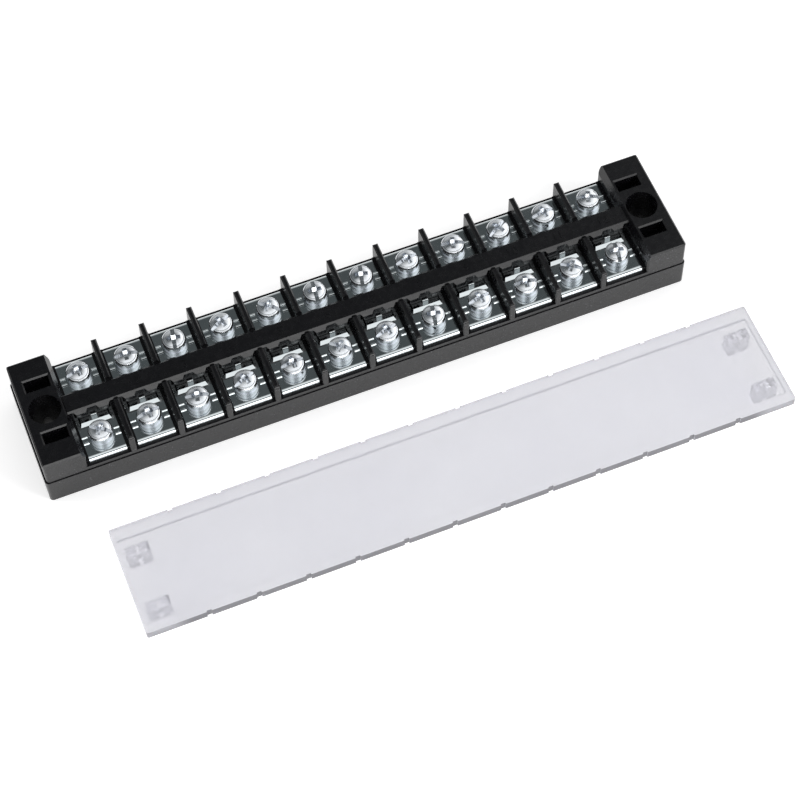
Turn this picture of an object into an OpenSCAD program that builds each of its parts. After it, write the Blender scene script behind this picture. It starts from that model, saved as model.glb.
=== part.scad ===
// Twelve-way double-row barrier terminal strip with its clear cover taken off
// and standing on its snap legs in front of it. Millimetres, +Z up, origin at
// the middle of the strip's underside.

/* [Rows] */
// Number of ways
ways = 12; // [2:1:14]
// Distance from one way to the next
pitch = 12; // [10:0.5:16]
// Screw axis behind the bar's end
screw_in = 5.35; // [4.5:0.05:6]

/* [Base moulding] */
// Width of the lower block
base_w = 29.9; // [26:0.1:40]
// Height of the lower block, up to the ledge
base_h = 7.8; // [7:0.1:12]
// Rounding of the vertical corners
corner_r = 0.9; // [0.3:0.1:2]
// Step above the lower block, along the two long sides
seam_step = 0.2; // [0.1:0.05:0.6]
// Step above the lower block, at the two ends
end_step = 0.35; // [0.1:0.05:1]
// Length of each end block
end_l = 10.3; // [9.5:0.1:14]
// How far an end block reaches into the outer way
end_in = 0.7; // [0.2:0.05:1.2]
// Run of the slope on an end block's inner side
end_slope_l = 1.0; // [0.2:0.1:1.5]
// Height of that slope
end_slope_h = 2.4; // [0.5:0.1:4]
// Height of the end blocks
end_h = 15.7; // [14:0.1:20]
// Edge break on top of the end blocks
end_chamfer = 0.35; // [0.1:0.05:0.8]
// Height of the ledge in front of the bars
ledge_h = 9.2; // [8.5:0.1:11.8]
// Rise of the seat the bars lie on above the ledge
seat_rise = 0.2; // [0.1:0.05:0.5]

/* [Centre rib] */
// Width of the centre rib
rib_w = 5.35; // [4:0.05:8]
// Height of the centre rib
rib_h = 14.8; // [13:0.1:18]
// Bevel along its two top edges
rib_bevel = 0.4; // [0.2:0.05:0.8]
// Width of the wedges on its walls, at their roots
wedge_l = 3.4; // [1:0.1:4]
// Plain stretch between the two wedges of a way
wedge_gap = 2.2; // [1.6:0.1:3]
// How far the wedges stand out
wedge_out = 0.6; // [0.2:0.05:1]
// Slant of a wedge's two sides
wedge_slant = 0.6; // [0:0.05:1]
// Height of a wedge's front below its sloping top
wedge_h = 1.2; // [0.5:0.1:2]
// Width of the nick in each barrier beside the rib
nick_w = 0.5; // [0.2:0.05:1]
// Depth of that nick below the barrier's top
nick_h = 0.8; // [0.3:0.05:1.5]

/* [Barriers] */
// Height of the barriers
fin_h = 15.1; // [14:0.1:20]
// Thickness of a barrier at its top
fin_top_t = 1.35; // [0.8:0.05:2]
// Thickness of a barrier at its foot
fin_foot_t = 1.65; // [1:0.05:2.5]
// Rounding of a barrier's upright nose edges
fin_edge_r = 0.45; // [0.1:0.05:0.6]
// Rounding of a barrier's outer top corner
fin_corner_r = 0.7; // [0.2:0.1:2]
// Width of the shoulder at a barrier's foot
shoulder_w = 2.6; // [2.2:0.1:4]
// Height of the shoulders
shoulder_h = 10.6; // [10.5:0.1:13]

/* [Holes and slots] */
// Mounting hole diameter
mount_d = 4.3; // [3:0.1:6]
// Counterbore diameter
mount_head_d = 7.8; // [6.5:0.1:9]
// Height of the counterbore's seat
mount_seat_h = 8.5; // [4:0.1:10]
// Cover slot length
slot_l = 6.0; // [5:0.1:7]
// Cover slot width
slot_w = 3.0; // [2.6:0.1:4]
// Cover slot depth
slot_depth = 6.2; // [5.5:0.1:8]
// Cover slot's middle behind the end block's side
slot_in = 7.3; // [5.5:0.05:8]
// Edge break round a slot
slot_chamfer = 0.35; // [0.1:0.05:0.6]
// Floor left under the screw wells
well_floor = 3.0; // [1.5:0.1:4]
// Clearance round the screw in its well
well_clear = 0.45; // [0.3:0.05:0.8]
// Depth of the hollows in the underside
core_depth = 5.5; // [3:0.1:6]
// Length of each hollow along the strip
core_l = 8.0; // [5:0.1:9]
// Width of each hollow
core_w = 6.8; // [4:0.1:8]

/* [Terminal bars] */
// Width of a bar
bar_w = 9.2; // [7:0.1:12]
// Thickness of a bar
bar_t = 1.0; // [0.8:0.05:1.5]
// Gap round a bar in its seat
bar_clear = 0.1; // [0.05:0.01:0.2]
// How far a bar's end stays behind the lower block's face
bar_back = 1.0; // [0.5:0.05:2]
// Rounding of a bar's two turned-down ends
bar_lip_r = 1.15; // [0.5:0.05:1.4]
// Collar diameter under a threaded hole
collar_d = 5.0; // [4.5:0.1:6]
// Collar depth
collar_h = 1.4; // [0.5:0.1:2]
// Clearance round a collar
collar_clear = 0.3; // [0.1:0.05:0.5]
// Length of a wire-guide ridge
ridge_l = 1.3; // [0.8:0.1:1.5]
// Width of a wire-guide ridge
ridge_w = 0.7; // [0.4:0.05:0.8]
// Height of a wire-guide ridge
ridge_h = 0.35; // [0.2:0.05:0.5]
// Distance between the two ridges of a pair
ridge_pitch = 1.7; // [1.2:0.1:2.2]
// Width of the raised step beside the rib, at its foot
step_w = 7.6; // [4:0.1:8.8]
// Height of that step
step_h = 0.4; // [0.2:0.05:0.8]
// Run of its sloping front
step_run = 0.95; // [0.4:0.05:1.5]
// How far it reaches out from the rib
step_out = 2.3; // [1.5:0.05:2.6]
// Width of the raised tab at the rib's foot
tab_w = 1.4; // [0.7:0.05:2]
// Thickness of the tab
tab_t = 0.6; // [0.4:0.05:0.8]
// Height of the tab
tab_h = 1.5; // [0.6:0.05:2]

/* [Screws and washers] */
// Thread major diameter
thread_d = 3.5; // [3:0.5:4]
// Radial running clearance of the thread
thread_clear = 0.05; // [0.02:0.01:0.1]
// Radial clearance of the washers on the thread
washer_clear = 0.09; // [0.05:0.01:0.1]
// Screw length under the head
screw_l = 8.0; // [6:0.5:8]
// Head diameter
head_d = 5.8; // [5:0.1:6.4]
// Height of the head's straight side
head_side_h = 0.55; // [0.4:0.05:1.2]
// Rounding of the head's edge
head_edge_r = 0.55; // [0.3:0.05:0.8]
// Radius of the head's dome
dome_r = 6.0; // [5:0.1:9]
// Flat washer diameter
flat_d = 6.0; // [5.5:0.1:6.2]
// Flat washer thickness
flat_t = 0.75; // [0.4:0.05:0.9]
// Spring washer diameter
spring_d = 5.6; // [5.2:0.1:6]
// Spring washer thickness
spring_t = 1.0; // [0.5:0.05:1.2]
// Gap at the spring washer's cut
spring_gap = 0.5; // [0.3:0.05:0.8]
// Driver slot width
drive_slot_w = 0.95; // [0.7:0.05:1.2]
// Driver slot depth
drive_slot_d = 1.25; // [0.8:0.05:1.4]
// Span of the cross recess
cross_l = 3.5; // [2.5:0.1:4]
// Arm width of the cross recess
cross_w = 1.05; // [0.7:0.05:1.3]
// Depth of the cross recess
cross_d = 2.0; // [1.2:0.1:2.5]

/* [Clear cover] */
// How far the cover's ends stay inside the end blocks
cover_in_x = 0.6; // [0:0.05:1]
// How far the cover's long edges stay behind the lower block's face
cover_in_y = 0.85; // [0.3:0.05:2]
// Cover height without the legs
cover_h = 2.3; // [1.8:0.1:4]
// Thickness of the sheet over the hollow
cover_sheet = 1.2; // [0.8:0.1:1.6]
// Rim along the long edges
cover_rim = 2.9; // [1.5:0.1:4]
// Rim along the two ends
cover_end = 1.0; // [0.6:0.1:2]
// Width of the grooves in the rim's outer face
groove_w = 1.2; // [0.8:0.1:2]
// Depth of the grooves
groove_d = 0.35; // [0.1:0.05:0.8]
// Leg length
leg_l = 4.9; // [4:0.1:5.4]
// Clearance of a leg in its slot, all round
leg_clear = 0.2; // [0.1:0.05:0.4]
// Slit between the two prongs of a leg
leg_slit = 0.9; // [0.5:0.1:1.5]
// Catch on each prong
leg_catch = 0.15; // [0.05:0.01:0.2]
// Cover's middle along the strip
cover_x = 8.8; // [-15:0.1:15]
// Gap between the strip and the cover lying in front of it
cover_apart = 16.45; // [5:0.05:40]

/* [Hidden] */
$fa = 6;
$fs = 0.35;
eps = 0.01;
cut = 1;
inner_x = ways * pitch / 2 - end_in;
end_out = inner_x + end_l;
base_l = 2 * (end_out + end_step);
end_hw = base_w / 2 - seam_step;
deck_h = ledge_h + seat_rise;
bar_top = deck_h + bar_t;
bar_half = base_w / 2 - bar_back;
seat_hw = bar_half - bar_lip_r - 0.05;
screw_y = bar_half - screw_in;
mount_x = inner_x + end_l / 2 - 0.05;
slot_x = mount_x - 0.3;
slot_y = end_hw - slot_in;
tab_y = rib_w / 2 + tab_t / 2 + 0.1;
ridge_x = bar_w / 2 - ridge_l / 2 - 0.05;
flat_z = bar_top + 0.02;
seat_gap = 0.02;
spring_z = flat_z + flat_t + seat_gap;
head_z = spring_z + spring_t + seat_gap;
edge_x = head_d / 2 - head_edge_r;
edge_z = sqrt((dome_r - head_edge_r) * (dome_r - head_edge_r) - edge_x * edge_x);
head_h = head_side_h - edge_z + dome_r;
head_top = head_z + head_h;
bore_d = thread_d + 2 * thread_clear;
washer_bore_d = thread_d + 2 * washer_clear;
well_d = thread_d + 2 * well_clear;
cover_under = leg_l;
cover_l = 2 * (end_out - cover_in_x);
cover_w = base_w - 2 * cover_in_y;
cover_y = -base_w / 2 - cover_apart - cover_w / 2;
leg_w = slot_l - 2 * leg_clear;
leg_t = slot_w - 2 * leg_clear;
leg_top = cover_under + cover_h - cover_sheet + 0.2;
wedge_top = rib_h - rib_bevel - wedge_out;

function way_x(k) = (k - (ways + 1) / 2) * pitch;

// ---- shared shapes ----

module rounded_rect(l, w, r) {
    square([l - 2 * r, w], center = true);
    square([l, w - 2 * r], center = true);
    for (sx = [-1, 1])
        for (sy = [-1, 1])
            translate([sx * (l / 2 - r), sy * (w / 2 - r)])
                circle(r);
}

// section along the strip: u across, v up, rounded top corners
module topped(w, z0, z1, r) {
    translate([-w / 2, z0])
        square([w, z1 - z0 - r]);
    translate([-w / 2 + r, z0])
        square([w - 2 * r, z1 - z0]);
    for (s = [-1, 1])
        translate([s * (w / 2 - r), z1 - r])
            circle(r);
}

module along_x(l) {
    rotate([90, 0, 90])
        linear_extrude(l, center = true)
            children();
}

module along_y(l) {
    rotate([90, 0, 0])
        linear_extrude(l, center = true)
            children();
}

// ---- base moulding ----

module lower_block() {
    linear_extrude(base_h)
        rounded_rect(base_l, base_w, corner_r);
}

module chamfered(w, z0, z1, c) {
    polygon([
        [-w / 2, z0], [w / 2, z0], [w / 2, z1 - c],
        [w / 2 - c, z1], [-w / 2 + c, z1], [-w / 2, z1 - c]
    ]);
}

module end_blocks() {
    for (s = [-1, 1])
        translate([s * (inner_x + end_l / 2), 0, 0])
            intersection() {
                translate([0, 0, base_h - eps])
                    linear_extrude(end_h)
                        rounded_rect(end_l, 2 * end_hw, corner_r - seam_step);
                along_x(2 * end_l)
                    chamfered(2 * end_hw, base_h - cut, end_h, end_chamfer);
                along_y(2 * base_w)
                    end_profile(s);
            }
}

// end view of an end block, its inner side sloping at the top
module end_profile(s) {
    o = s * end_l / 2;
    polygon([
        [-o, base_h - cut], [o, base_h - cut], [o, end_h - end_chamfer],
        [o - s * end_chamfer, end_h], [-o + s * end_slope_l, end_h],
        [-o, end_h - end_slope_h]
    ]);
}

// the ledge runs out to the face, the bars' seat stops under their turned-down ends
module deck() {
    translate([-inner_x - cut, -end_hw, base_h - eps])
        cube([2 * (inner_x + cut), 2 * end_hw, ledge_h - base_h + eps]);
    translate([-inner_x - cut, -seat_hw, ledge_h - eps])
        cube([2 * (inner_x + cut), 2 * seat_hw, seat_rise + eps]);
}

module rib() {
    along_x(2 * inner_x + cut)
        chamfered(rib_w, deck_h - eps, rib_h, rib_bevel);
    for (k = [1 : ways])
        for (sx = [-1, 1])
            translate([way_x(k) + sx * (wedge_gap + wedge_l) / 2, 0, 0])
                wedges();
}

// one wedge on each wall: its top carries the bevel's slope on, its sides slant in
module wedges() {
    reach = rib_w / 2 + wedge_out;
    intersection() {
        along_x(wedge_l)
            polygon([
                [-reach, wedge_top - wedge_h], [-rib_w / 2, wedge_top - wedge_h - wedge_out],
                [rib_w / 2, wedge_top - wedge_h - wedge_out], [reach, wedge_top - wedge_h],
                [reach, wedge_top], [rib_w / 2 - rib_bevel, rib_h],
                [-rib_w / 2 + rib_bevel, rib_h], [-reach, wedge_top]
            ]);
        translate([0, 0, deck_h])
            linear_extrude(rib_h)
                polygon([
                    [-wedge_l / 2, 0], [-wedge_l / 2, -rib_w / 2], [-wedge_l / 2 + wedge_slant, -reach],
                    [wedge_l / 2 - wedge_slant, -reach], [wedge_l / 2, -rib_w / 2],
                    [wedge_l / 2, rib_w / 2], [wedge_l / 2 - wedge_slant, reach],
                    [-wedge_l / 2 + wedge_slant, reach], [-wedge_l / 2, rib_w / 2]
                ]);
    }
}

module shoulders() {
    for (k = [0 : ways])
        translate([way_x(k + 0.5), 0, 0])
            intersection() {
                translate([-shoulder_w / 2, -bar_half, ledge_h - eps])
                    cube([shoulder_w, 2 * bar_half, shoulder_h - ledge_h + eps]);
                translate([-inner_x - cut - way_x(k + 0.5), -base_w, 0])
                    cube([2 * (inner_x + cut), 2 * base_w, end_h]);
            }
}

// thin tapered fins with flat noses, low beside the rib and at it
module barriers() {
    for (k = [1 : ways - 1])
        translate([way_x(k + 0.5), 0, 0])
            difference() {
                intersection() {
                    along_y(2 * base_w)
                        fin_section();
                    along_x(2 * fin_foot_t)
                        topped(2 * end_hw, base_h - cut, fin_h, fin_corner_r);
                    translate([0, 0, base_h - eps])
                        linear_extrude(end_h)
                            rounded_rect(fin_foot_t, 2 * end_hw, fin_edge_r);
                }
                translate([-fin_foot_t, -rib_w / 2 - nick_w, fin_h - nick_h])
                    cube([2 * fin_foot_t, rib_w + 2 * nick_w, nick_h + cut]);
            }
}

module fin_section() {
    polygon([
        [-fin_foot_t / 2, base_h - cut], [fin_foot_t / 2, base_h - cut],
        [fin_foot_t / 2, base_h], [fin_top_t / 2, fin_h - fin_top_t / 4],
        [fin_top_t / 4, fin_h], [-fin_top_t / 4, fin_h],
        [-fin_top_t / 2, fin_h - fin_top_t / 4], [-fin_foot_t / 2, base_h]
    ]);
}

module mounting_hole() {
    translate([0, 0, -cut])
        cylinder(d = mount_d, h = end_h + 2 * cut);
    translate([0, 0, mount_seat_h])
        cylinder(d = mount_head_d, h = end_h);
}

module cover_slot() {
    translate([-slot_l / 2, -slot_w / 2, end_h - slot_depth])
        cube([slot_l, slot_w, slot_depth + cut]);
    intersection() {
        along_y(2 * slot_w)
            slot_mouth(slot_l);
        along_x(2 * slot_l)
            slot_mouth(slot_w);
    }
}

module slot_mouth(w) {
    polygon([
        [-w / 2, end_h - slot_chamfer],
        [w / 2, end_h - slot_chamfer],
        [w / 2 + slot_chamfer + cut, end_h + cut],
        [-w / 2 - slot_chamfer - cut, end_h + cut]
    ]);
}

module screw_well() {
    translate([0, 0, well_floor])
        cylinder(d = well_d, h = deck_h);
    translate([0, 0, deck_h - collar_h - collar_clear])
        cylinder(d = collar_d + 2 * collar_clear, h = deck_h);
}

// the bar's way under the rib
module bar_window() {
    translate([-bar_w / 2 - bar_clear, -rib_w / 2 - cut, deck_h])
        cube([bar_w + 2 * bar_clear, rib_w + 2 * cut, bar_t + bar_clear]);
}

module base_moulding() {
    color([0.06, 0.06, 0.07])
        difference() {
            union() {
                lower_block();
                end_blocks();
                deck();
                rib();
                shoulders();
                barriers();
            }
            for (k = [1 : ways])
                translate([way_x(k), 0, 0]) {
                    bar_window();
                    translate([0, 0, core_depth / 2 - cut / 2])
                        cube([core_l, core_w, core_depth + cut], center = true);
                    for (s = [-1, 1])
                        translate([0, s * screw_y, 0])
                            screw_well();
                }
            for (sx = [-1, 1]) {
                translate([sx * mount_x, 0, 0])
                    mounting_hole();
                for (sy = [-1, 1])
                    translate([sx * slot_x, sy * slot_y, 0])
                        cover_slot();
            }
        }
}

// ---- terminal bars ----

// side view of a bar, its two ends turned down over the seat
module bar_section() {
    flat_hw = bar_half - bar_lip_r;
    translate([-flat_hw - eps, deck_h])
        square([2 * flat_hw + 2 * eps, bar_t]);
    for (s = [-1, 1])
        intersection() {
            translate([s * flat_hw, bar_top - bar_lip_r])
                circle(bar_lip_r);
            translate([s > 0 ? flat_hw : -flat_hw - bar_lip_r, bar_top - bar_lip_r])
                square([bar_lip_r, bar_lip_r]);
        }
}

module ridges() {
    for (sx = [-1, 1])
        for (sy = [-1, 1])
            translate([sx * ridge_x, sy * ridge_pitch / 2, bar_top - eps])
                along_x(ridge_l)
                    intersection() {
                        translate([0, ridge_h - ridge_w / 2])
                            circle(d = ridge_w);
                        translate([-ridge_w / 2, 0])
                            square([ridge_w, ridge_h]);
                    }
}

// tab raised from the bar against the rib, its top rounded
module tab() {
    along_x(tab_w) {
        translate([-tab_t / 2, bar_top - eps])
            square([tab_t, tab_h - tab_t / 2 + eps]);
        translate([0, bar_top + tab_h - tab_t / 2])
            circle(d = tab_t);
    }
}

// the bar steps up before it goes under the rib
module step(s) {
    y0 = rib_w / 2 + 0.1;
    y1 = rib_w / 2 + step_out;
    intersection() {
        along_x(step_w)
            polygon([
                [s * y0, bar_top - eps], [s * y1, bar_top - eps],
                [s * (y1 - step_run), bar_top + step_h], [s * y0, bar_top + step_h]
            ]);
        translate([0, 0, bar_top - 2 * eps])
            along_y(3 * rib_w)
                polygon([
                    [-step_w / 2, 0], [step_w / 2, 0],
                    [step_w / 2 - step_h, step_h + 3 * eps], [-step_w / 2 + step_h, step_h + 3 * eps]
                ]);
    }
}

module terminal_bar() {
    difference() {
        union() {
            along_x(bar_w)
                bar_section();
            for (s = [-1, 1]) {
                translate([0, s * screw_y, deck_h - collar_h])
                    cylinder(d = collar_d, h = collar_h + bar_t / 2);
                translate([0, s * screw_y, 0])
                    ridges();
                step(s);
                translate([0, s * tab_y, 0])
                    tab();
            }
        }
        for (s = [-1, 1])
            translate([0, s * screw_y, deck_h - collar_h - cut])
                cylinder(d = bore_d, h = collar_h + bar_t + 2 * cut);
    }
}

module terminal_bars() {
    color([0.75, 0.74, 0.70])
        for (k = [1 : ways])
            translate([way_x(k), 0, 0])
                terminal_bar();
}

// ---- screws and washers ----

// round head: straight side, rounded edge, shallow dome
module head_blank() {
    translate([0, 0, head_z])
        rotate_extrude() {
            square([head_d / 2, head_side_h]);
            intersection() {
                square([head_d / 2, 2 * head_h]);
                translate([edge_x, head_side_h])
                    circle(head_edge_r);
            }
            intersection() {
                square([edge_x, 2 * head_h]);
                translate([0, head_side_h - edge_z])
                    circle(dome_r);
            }
        }
}

module shank() {
    tip = 0.4;
    translate([0, 0, head_z - screw_l + tip])
        cylinder(d = thread_d, h = screw_l - tip + 0.2);
    translate([0, 0, head_z - screw_l])
        cylinder(d1 = thread_d - 2 * tip, d2 = thread_d, h = tip);
}

// slot right across the head, and a cross that narrows as it goes down
module drive() {
    translate([-head_d, -drive_slot_w / 2, head_top - drive_slot_d])
        cube([2 * head_d, drive_slot_w, drive_slot_d + cut]);
    for (a = [0, 90])
        rotate([0, 0, a])
            along_y(cross_w)
                polygon([
                    [-cross_l / 2, head_top + eps], [cross_l / 2, head_top + eps],
                    [cross_l / 2 - 0.3, head_top - cross_d * 0.55],
                    [cross_w / 2 + 0.1, head_top - cross_d],
                    [-cross_w / 2 - 0.1, head_top - cross_d],
                    [-cross_l / 2 + 0.3, head_top - cross_d * 0.55]
                ]);
}

module screw_at(k, side, turn) {
    color([0.78, 0.77, 0.73])
        translate([way_x(k), side * screw_y, 0])
            rotate([0, 0, turn])
                difference() {
                    union() {
                        head_blank();
                        shank();
                    }
                    drive();
                }
}

module flat_washer() {
    translate([0, 0, flat_z])
        difference() {
            cylinder(d = flat_d, h = flat_t);
            translate([0, 0, -cut])
                cylinder(d = washer_bore_d, h = flat_t + 2 * cut);
        }
}

module spring_washer() {
    translate([0, 0, spring_z])
        difference() {
            cylinder(d = spring_d, h = spring_t);
            translate([0, 0, -cut])
                cylinder(d = washer_bore_d, h = spring_t + 2 * cut);
            translate([spring_d / 2, 0, spring_t / 2])
                rotate([35, 0, 0])
                    cube([spring_d, spring_gap, 4 * spring_t], center = true);
        }
}

module washers_at(k, side, turn) {
    color([0.72, 0.71, 0.67])
        translate([way_x(k), side * screw_y, 0])
            rotate([0, 0, turn]) {
                flat_washer();
                spring_washer();
            }
}

// ---- clear cover ----

module leg() {
    difference() {
        along_y(leg_t)
            polygon([
                [-leg_w / 2 + 0.5, 0], [leg_w / 2 - 0.5, 0],
                [leg_w / 2, 1.0], [leg_w / 2 + leg_catch, 1.3],
                [leg_w / 2 + leg_catch, 1.6], [leg_w / 2, 1.9],
                [leg_w / 2, leg_top], [-leg_w / 2, leg_top],
                [-leg_w / 2, 1.9], [-leg_w / 2 - leg_catch, 1.6],
                [-leg_w / 2 - leg_catch, 1.3], [-leg_w / 2, 1.0]
            ]);
        translate([-leg_slit / 2, -leg_t, -cut])
            cube([leg_slit, 2 * leg_t, leg_l * 0.75 + cut]);
    }
}

module clear_cover() {
    hollow_l = cover_l - 2 * cover_end;
    hollow_w = cover_w - 2 * cover_rim;
    color([0.85, 0.86, 0.9, 0.5])
        translate([cover_x, cover_y, 0]) {
            difference() {
                translate([0, 0, cover_under])
                    linear_extrude(cover_h)
                        rounded_rect(cover_l, cover_w, 0.5);
                translate([-hollow_l / 2, -hollow_w / 2, cover_under - cut])
                    cube([hollow_l, hollow_w, cover_h - cover_sheet + cut]);
                for (k = [1 : ways])
                    for (s = [-1, 1])
                        translate([way_x(k), s * (cover_w + cut) / 2, cover_under + cover_h / 2])
                            cube([groove_w, 2 * groove_d + cut, cover_h + cut], center = true);
            }
            for (sx = [-1, 1])
                for (sy = [-1, 1])
                    translate([sx * slot_x, sy * slot_y, 0])
                        leg();
        }
}

// ---- one module per screw and washer set ----

module near_screw_1() {
    screw_at(1, -1, -35);
}

module near_screw_2() {
    screw_at(2, -1, 8);
}

module near_screw_3() {
    screw_at(3, -1, -12);
}

module near_screw_4() {
    screw_at(4, -1, 20);
}

module near_screw_5() {
    screw_at(5, -1, 5);
}

module near_screw_6() {
    screw_at(6, -1, -38);
}

module near_screw_7() {
    screw_at(7, -1, 15);
}

module near_screw_8() {
    screw_at(8, -1, 78);
}

module near_screw_9() {
    screw_at(9, -1, 10);
}

module near_screw_10() {
    screw_at(10, -1, -8);
}

module near_screw_11() {
    screw_at(11, -1, -36);
}

module near_screw_12() {
    screw_at(12, -1, 82);
}

module far_screw_1() {
    screw_at(1, 1, 12);
}

module far_screw_2() {
    screw_at(2, 1, -5);
}

module far_screw_3() {
    screw_at(3, 1, 80);
}

module far_screw_4() {
    screw_at(4, 1, 25);
}

module far_screw_5() {
    screw_at(5, 1, -40);
}

module far_screw_6() {
    screw_at(6, 1, 84);
}

module far_screw_7() {
    screw_at(7, 1, 76);
}

module far_screw_8() {
    screw_at(8, 1, 10);
}

module far_screw_9() {
    screw_at(9, 1, -15);
}

module far_screw_10() {
    screw_at(10, 1, 30);
}

module far_screw_11() {
    screw_at(11, 1, 6);
}

module far_screw_12() {
    screw_at(12, 1, -20);
}

module near_washers_1() {
    washers_at(1, -1, 168);
}

module near_washers_2() {
    washers_at(2, -1, 162);
}

module near_washers_3() {
    washers_at(3, -1, 75);
}

module near_washers_4() {
    washers_at(4, -1, 352);
}

module near_washers_5() {
    washers_at(5, -1, 300);
}

module near_washers_6() {
    washers_at(6, -1, 52);
}

module near_washers_7() {
    washers_at(7, -1, 116);
}

module near_washers_8() {
    washers_at(8, -1, 250);
}

module near_washers_9() {
    washers_at(9, -1, 187);
}

module near_washers_10() {
    washers_at(10, -1, 114);
}

module near_washers_11() {
    washers_at(11, -1, 331);
}

module near_washers_12() {
    washers_at(12, -1, 130);
}

module far_washers_1() {
    washers_at(1, 1, 137);
}

module far_washers_2() {
    washers_at(2, 1, 71);
}

module far_washers_3() {
    washers_at(3, 1, 359);
}

module far_washers_4() {
    washers_at(4, 1, 27);
}

module far_washers_5() {
    washers_at(5, 1, 345);
}

module far_washers_6() {
    washers_at(6, 1, 186);
}

module far_washers_7() {
    washers_at(7, 1, 183);
}

module far_washers_8() {
    washers_at(8, 1, 134);
}

module far_washers_9() {
    washers_at(9, 1, 12);
}

module far_washers_10() {
    washers_at(10, 1, 20);
}

module far_washers_11() {
    washers_at(11, 1, 265);
}

module far_washers_12() {
    washers_at(12, 1, 136);
}

base_moulding();
terminal_bars();
clear_cover();
near_screw_1();
near_screw_2();
near_screw_3();
near_screw_4();
near_screw_5();
near_screw_6();
near_screw_7();
near_screw_8();
near_screw_9();
near_screw_10();
near_screw_11();
near_screw_12();
far_screw_1();
far_screw_2();
far_screw_3();
far_screw_4();
far_screw_5();
far_screw_6();
far_screw_7();
far_screw_8();
far_screw_9();
far_screw_10();
far_screw_11();
far_screw_12();
near_washers_1();
near_washers_2();
near_washers_3();
near_washers_4();
near_washers_5();
near_washers_6();
near_washers_7();
near_washers_8();
near_washers_9();
near_washers_10();
near_washers_11();
near_washers_12();
far_washers_1();
far_washers_2();
far_washers_3();
far_washers_4();
far_washers_5();
far_washers_6();
far_washers_7();
far_washers_8();
far_washers_9();
far_washers_10();
far_washers_11();
far_washers_12();
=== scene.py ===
"""Looks of the barrier terminal strip and its clear cover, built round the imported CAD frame."""
import math

import bpy
from mathutils import Matrix, Vector


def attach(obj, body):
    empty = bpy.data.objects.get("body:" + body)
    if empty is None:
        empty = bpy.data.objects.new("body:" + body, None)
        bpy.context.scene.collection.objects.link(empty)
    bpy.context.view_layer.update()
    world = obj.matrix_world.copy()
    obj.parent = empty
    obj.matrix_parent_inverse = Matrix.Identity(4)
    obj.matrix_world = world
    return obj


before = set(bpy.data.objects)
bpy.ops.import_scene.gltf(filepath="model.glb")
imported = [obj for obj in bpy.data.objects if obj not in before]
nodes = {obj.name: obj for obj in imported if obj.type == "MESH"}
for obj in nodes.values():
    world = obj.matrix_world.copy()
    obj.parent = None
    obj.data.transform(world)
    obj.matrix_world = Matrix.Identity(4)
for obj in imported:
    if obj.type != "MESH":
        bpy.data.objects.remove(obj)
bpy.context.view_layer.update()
MM = 0.001

# ---------- sizes in millimetres, and light levels ----------

WAYS = 12
PITCH = 12.0
RIB_TOP = 14.8
COVER_X = 8.8
COVER_FRONT = -59.0
# painted shade on the cover's front rim: full within this distance of the middle, faded out from
# the next
PAINTED_SHADE_FULL_TO = 70.0
PAINTED_SHADE_FADED_FROM = 74.0
THREAD_PITCH = 0.6
THREAD_TOP = 10.3
NUMBER_SIZE = 3.1
NUMBER_DEPTH = 0.06
NUMBER_LIFT = 0.04
FLOOR_SIZE = 6000.0
FLOOR_DROP = 0.05

CAMERA_LEVEL = 1.0
MIRRORED_LEVEL = 1.0
PLAIN_LEVEL = 0.62
FLOOR_GLOW_CAMERA = 0.42
FLOOR_GLOW_MIRRORED = 0.35


# ---------- node helpers ----------

class Tree:
    """Short calls for building a material's or the world's node tree."""

    def __init__(self, owner):
        owner.use_nodes = True
        self.t = owner.node_tree
        self.t.nodes.clear()

    def new(self, kind, **values):
        n = self.t.nodes.new(kind)
        for key, value in values.items():
            setattr(n, key, value)
        return n

    def put(self, socket, value):
        """Links an output to the socket, or sets the socket's own value."""
        if hasattr(value, "is_output"):
            self.t.links.new(value, socket)
        else:
            socket.default_value = value

    def math(self, op, a, b):
        n = self.new("ShaderNodeMath", operation=op)
        self.put(n.inputs[0], a)
        self.put(n.inputs[1], b)
        return n.outputs[0]

    def mix(self, fac, a, b):
        n = self.new("ShaderNodeMix", data_type="RGBA")
        self.put(n.inputs[0], fac)
        self.put(n.inputs[6], a)
        self.put(n.inputs[7], b)
        return n.outputs[2]

    def mix_shader(self, fac, a, b):
        n = self.new("ShaderNodeMixShader")
        self.put(n.inputs[0], fac)
        self.put(n.inputs[1], a)
        self.put(n.inputs[2], b)
        return n.outputs[0]

    def background(self, color, level):
        n = self.new("ShaderNodeBackground")
        self.put(n.inputs[0], color)
        n.inputs[1].default_value = level
        return n.outputs[0]

    def remap(self, value, lo, hi, to_lo, to_hi):
        n = self.new("ShaderNodeMapRange")
        for i, v in enumerate((value, lo, hi, to_lo, to_hi)):
            self.put(n.inputs[i], v)
        return n.outputs[0]

    def noise(self, vector, scale, detail):
        n = self.new("ShaderNodeTexNoise")
        self.put(n.inputs["Vector"], vector)
        n.inputs["Scale"].default_value = scale
        n.inputs["Detail"].default_value = detail
        n.inputs["Roughness"].default_value = 0.5
        return n.outputs["Fac"]

    def coords(self):
        return self.new("ShaderNodeTexCoord").outputs["Object"]

    def split(self, vector):
        n = self.new("ShaderNodeSeparateXYZ")
        self.put(n.inputs[0], vector)
        return n.outputs

    def bump(self, height, strength, distance, normal=None):
        n = self.new("ShaderNodeBump")
        n.inputs["Strength"].default_value = strength
        n.inputs["Distance"].default_value = distance
        self.put(n.inputs["Height"], height)
        if normal is not None:
            self.put(n.inputs["Normal"], normal)
        return n.outputs[0]

    def finish(self, kind, shader):
        self.put(self.new(kind).inputs[0], shader)


def rgb(r, g, b):
    return (r, g, b, 1.0)


def grey(level):
    return rgb(level, level, level)


# ---------- materials ----------

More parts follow.
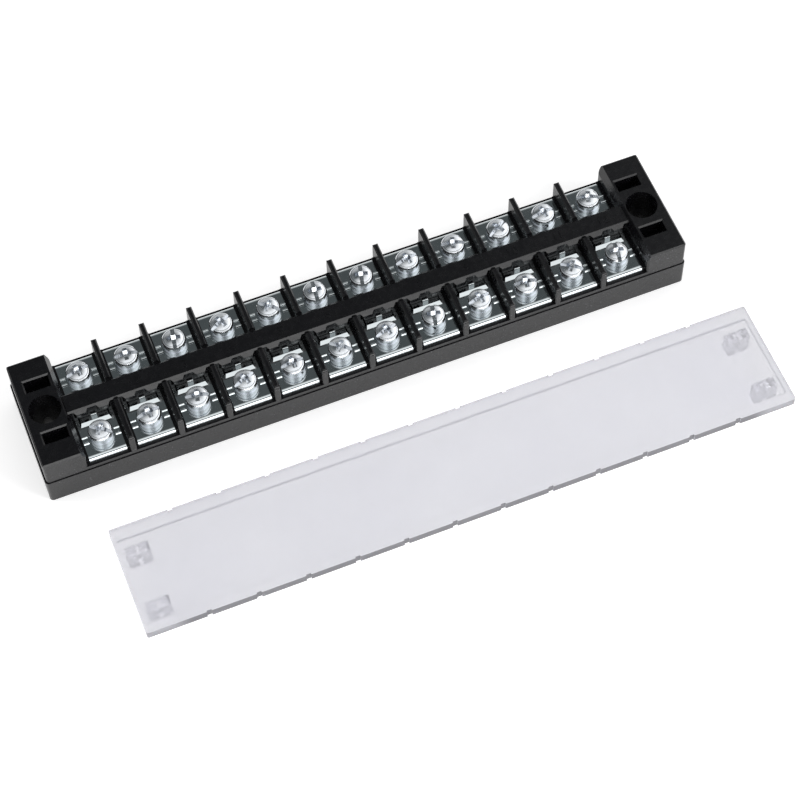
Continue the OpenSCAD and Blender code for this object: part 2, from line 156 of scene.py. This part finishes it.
def moulding_material():
    """Black thermoset with a fine satin grain."""
    m = bpy.data.materials.new("black_moulding_satin")
    t = Tree(m)
    p = t.coords()
    mottled = t.noise(p, 90, 4)
    grain = t.noise(p, 5200, 2)
    flow = t.noise(p, 700, 3)
    bsdf = t.new("ShaderNodeBsdfPrincipled")
    dark, light = rgb(0.0024, 0.0023, 0.0030), rgb(0.0046, 0.0044, 0.0056)
    t.put(bsdf.inputs["Base Color"], t.mix(mottled, dark, light))
    t.put(bsdf.inputs["Roughness"], t.remap(flow, 0.3, 0.7, 0.22, 0.30))
    t.put(bsdf.inputs["Normal"], t.bump(grain, 0.12, 0.00004, t.bump(flow, 0.05, 0.0002)))
    t.finish("ShaderNodeOutputMaterial", bsdf.outputs[0])
    return m


def nickel_material(name, tint, rough_lo, rough_hi, threaded=False):
    """Plated metal with faint clouds and scratches, and a thread on the screws' shanks."""
    m = bpy.data.materials.new(name)
    t = Tree(m)
    p = t.coords()
    cloud = t.noise(p, 420, 3)
    scratch_at = t.new("ShaderNodeMapping")
    t.put(scratch_at.inputs[0], p)
    scratch_at.inputs["Scale"].default_value = (1.0, 14.0, 14.0)
    scratch = t.noise(scratch_at.outputs[0], 900, 2)
    bsdf = t.new("ShaderNodeBsdfPrincipled")
    bsdf.inputs["Metallic"].default_value = 1.0
    dark = rgb(tint[0] * 0.86, tint[1] * 0.87, tint[2] * 0.88)
    t.put(bsdf.inputs["Base Color"], t.mix(cloud, dark, rgb(*tint)))
    t.put(bsdf.inputs["Roughness"], t.remap(cloud, 0.3, 0.7, rough_lo, rough_hi))
    normal = t.bump(scratch, 0.06, 0.00003)
    if threaded:
        z = t.split(p)[2]
        wave = t.math("SINE", t.math("MULTIPLY", z, 2 * math.pi / (THREAD_PITCH * MM)), 0.0)
        on_shank = t.math("LESS_THAN", z, THREAD_TOP * MM)
        normal = t.bump(t.math("MULTIPLY", wave, on_shank), 0.9, 0.00018, normal)
    t.put(bsdf.inputs["Normal"], normal)
    t.finish("ShaderNodeOutputMaterial", bsdf.outputs[0])
    return m


def clear_material():
    """Clear moulded plastic gone slightly milky, with painted shade on its front rim face."""
    m = bpy.data.materials.new("clear_cover_plastic")
    t = Tree(m)
    p = t.coords()
    haze = t.noise(p, 60, 3)
    ripple = t.noise(p, 160, 2)

    bsdf = t.new("ShaderNodeBsdfPrincipled")
    tint = t.mix(haze, rgb(0.86, 0.86, 0.895), rgb(0.89, 0.89, 0.915))
    t.put(bsdf.inputs["Base Color"], tint)
    bsdf.inputs["Transmission Weight"].default_value = 1.0
    bsdf.inputs["IOR"].default_value = 1.49
    t.put(bsdf.inputs["Roughness"], t.remap(haze, 0.3, 0.7, 0.06, 0.14))
    t.put(bsdf.inputs["Normal"], t.bump(ripple, 0.02, 0.0003))

    milk = t.new("ShaderNodeBsdfDiffuse")
    t.put(milk.inputs[0], t.mix(haze, rgb(0.60, 0.60, 0.63), rgb(0.66, 0.66, 0.68)))
    cloudy = t.mix_shader(0.35, bsdf.outputs[0], milk.outputs[0])

    # painted shade: the front rim face gets a dark colour, strongest in the middle and lighter
    # toward the ends, standing in for the shade the clear plastic shows there
    painted_shade = t.new("ShaderNodeBsdfPrincipled")
    t.put(painted_shade.inputs["Base Color"], t.mix(haze, rgb(0.10, 0.10, 0.115), rgb(0.15, 0.15, 0.165)))
    painted_shade.inputs["Roughness"].default_value = 0.2
    ny = t.split(t.new("ShaderNodeNewGeometry").outputs["True Normal"])[1]
    px, py, _ = t.split(p)
    off_middle = t.math("ABSOLUTE", t.math("SUBTRACT", px, COVER_X * MM), 0.0)
    painted_shade_amount = t.remap(off_middle, PAINTED_SHADE_FULL_TO * MM, PAINTED_SHADE_FADED_FROM * MM, 0.85, 0.30)
    facing_front = t.math("LESS_THAN", ny, -0.9)
    front = t.math("MULTIPLY", facing_front, t.math("LESS_THAN", py, COVER_FRONT * MM))
    cloudy_with_painted_shade = t.mix_shader(t.math("MULTIPLY", front, painted_shade_amount), cloudy, painted_shade.outputs[0])

    through = t.new("ShaderNodeBsdfTransparent")
    through.inputs[0].default_value = rgb(0.93, 0.93, 0.95)
    path = t.new("ShaderNodeLightPath")
    shader = t.mix_shader(path.outputs["Is Shadow Ray"], cloudy_with_painted_shade, through.outputs[0])
    t.finish("ShaderNodeOutputMaterial", shader)
    return m


def floor_material():
    """Pale floor that keeps the object's shadow and reads white in the picture."""
    m = bpy.data.materials.new("pale_floor")
    t = Tree(m)
    p = t.coords()
    speck = t.noise(p, 30, 2)
    diffuse = t.new("ShaderNodeBsdfDiffuse")
    t.put(diffuse.inputs[0], t.mix(speck, rgb(0.86, 0.86, 0.865), rgb(0.88, 0.88, 0.88)))
    glow = t.new("ShaderNodeEmission")
    glow.inputs[0].default_value = grey(1)
    path = t.new("ShaderNodeLightPath").outputs
    mirrored = t.math("MAXIMUM", path["Is Glossy Ray"], path["Is Transmission Ray"])
    seen = t.math("MULTIPLY", path["Is Camera Ray"], FLOOR_GLOW_CAMERA)
    t.put(glow.inputs[1], t.math("ADD", seen, t.math("MULTIPLY", mirrored, FLOOR_GLOW_MIRRORED)))
    add = t.new("ShaderNodeAddShader")
    t.put(add.inputs[0], diffuse.outputs[0])
    t.put(add.inputs[1], glow.outputs[0])
    t.finish("ShaderNodeOutputMaterial", add.outputs[0])
    return m


# ---------- dressing the CAD pieces ----------

def dress(obj, material):
    for i in range(max(1, len(obj.material_slots))):
        if i < len(obj.material_slots):
            obj.material_slots[i].material = material
        else:
            obj.data.materials.append(material)


black = moulding_material()
bar_metal = nickel_material("nickel_bars", (0.68, 0.72, 0.73), 0.06, 0.12)
washer_metal = nickel_material("nickel_washers", (0.82, 0.85, 0.89), 0.10, 0.2)
screw_metal = nickel_material("nickel_screws", (0.86, 0.88, 0.91), 0.14, 0.26, threaded=True)
clear = clear_material()

dress(nodes["base_moulding"], black)
dress(nodes["terminal_bars"], bar_metal)
dress(nodes["clear_cover"], clear)
for name, obj in nodes.items():
    if "_screw_" in name:
        dress(obj, screw_metal)
    elif "_washers_" in name:
        dress(obj, washer_metal)

# ---------- way numbers, faint on the rib ----------

for k in range(1, WAYS + 1):
    curve = bpy.data.curves.new("way_number_%d" % k, "FONT")
    curve.body = str(k)
    curve.size = NUMBER_SIZE * MM
    curve.extrude = NUMBER_DEPTH * MM
    curve.align_x = "CENTER"
    curve.align_y = "CENTER"
    number = bpy.data.objects.new("way_number_%d" % k, curve)
    bpy.context.scene.collection.objects.link(number)
    number.location = ((k - (WAYS + 1) / 2) * PITCH * MM, 0, (RIB_TOP + NUMBER_LIFT) * MM)
    number.data.materials.append(black)
    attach(number, "strip")

# ---------- floor ----------

bpy.ops.mesh.primitive_plane_add(size=FLOOR_SIZE * MM, location=(0, 0, -FLOOR_DROP * MM))
floor = bpy.context.object
floor.name = "floor"
floor.data.materials.append(floor_material())

# ---------- world ----------

world = bpy.data.worlds.new("studio")
bpy.context.scene.world = world
# sampled only by the rays that hit it, since each kind of ray sees another background
world.cycles.sampling_method = "NONE"
w = Tree(world)
dx, dy, _ = w.split(w.new("ShaderNodeTexCoord").outputs["Generated"])
ray = w.new("ShaderNodeLightPath").outputs


def ramp(value, stops):
    """Grey levels at given values between -1 and 1, blended in between."""
    n = w.new("ShaderNodeValToRGB")
    w.put(n.inputs[0], w.remap(value, -1.0, 1.0, 0.0, 1.0))
    elements = n.color_ramp.elements
    while len(elements) < len(stops):
        elements.new(0.5)
    for e, (at, level) in zip(elements, stops):
        e.position = (at + 1) / 2
        e.color = grey(level)
    return n.outputs[0]


# what mirrors see, from the front horizon over the top to the back horizon: a bright
# front, the dark camera side, a soft light overhead and the dark far half of the ceiling
FRONT_TO_BACK = [
    (-1.0, 4.0), (-0.84, 4.0), (-0.78, 0.08), (-0.56, 0.04), (-0.44, 1.4), (-0.1, 1.1),
    (0.18, 0.5), (0.31, 0.055), (0.72, 0.05), (0.86, 0.45), (1.0, 0.6),
]
overhead = ramp(dy, FRONT_TO_BACK)
rightward = w.remap(dx, 0.30, 0.62, 0.0, 1.0)
leftward = w.remap(dx, -0.62, -0.30, 1.0, 0.0)
surround = w.mix(rightward, overhead, grey(1.5))
surround = w.mix(leftward, surround, grey(0.3))
cool = w.mix(0.08, surround, rgb(0.5, 0.62, 0.66))
plain = w.background(grey(1), PLAIN_LEVEL)
mirrored = w.background(cool, MIRRORED_LEVEL)
white = w.background(grey(1), CAMERA_LEVEL)
lit = w.mix_shader(ray["Is Glossy Ray"], plain, mirrored)
seen = w.math("MAXIMUM", ray["Is Camera Ray"], ray["Is Transmission Ray"])
w.finish("ShaderNodeOutputWorld", w.mix_shader(seen, lit, white))


# ---------- lamps ----------

def area_light(name, at, size, watts):
    """A round lamp aimed at the middle of the strip, kept out of the mirrors."""
    data = bpy.data.lights.new(name, "AREA")
    data.shape = "DISK"
    data.size = size
    data.energy = watts
    lamp = bpy.data.objects.new(name, data)
    bpy.context.scene.collection.objects.link(lamp)
    lamp.location = at
    lamp.rotation_euler = (-Vector(at)).to_track_quat("-Z", "Y").to_euler()
    lamp.visible_glossy = False


area_light("key", (0.9, -0.8, 0.75), 0.7, 9.0)
area_light("side", (-0.9, 0.6, 0.8), 0.9, 4.0)

# ---------- camera, at the angle of the picture ----------

AZIMUTH = -0.3407
ELEVATION = 1.036
ROLL = -0.0416
DISTANCE = 561.54 * MM
TARGET = Vector((4.39, -20.38, 0.0)) * MM
SENSOR = 36.0
LENS = 104.86

flat = math.cos(ELEVATION)
back = Vector((flat * math.sin(AZIMUTH), -flat * math.cos(AZIMUTH), math.sin(ELEVATION)))
level_right = Vector((math.cos(AZIMUTH), math.sin(AZIMUTH), 0.0))
level_up = back.cross(level_right)
right = math.cos(ROLL) * level_right + math.sin(ROLL) * level_up
up = -math.sin(ROLL) * level_right + math.cos(ROLL) * level_up
cam_data = bpy.data.cameras.new("camera")
cam_data.sensor_width = SENSOR
cam_data.lens = LENS
cam_data.clip_start = 0.01
cam_data.clip_end = 20.0
camera = bpy.data.objects.new("camera", cam_data)
bpy.context.scene.collection.objects.link(camera)
turn = Matrix((right, up, back)).transposed().to_4x4()
camera.matrix_world = Matrix.Translation(TARGET + DISTANCE * back) @ turn
bpy.context.scene.camera = camera
bpy.context.scene.view_settings.view_transform = "Standard"
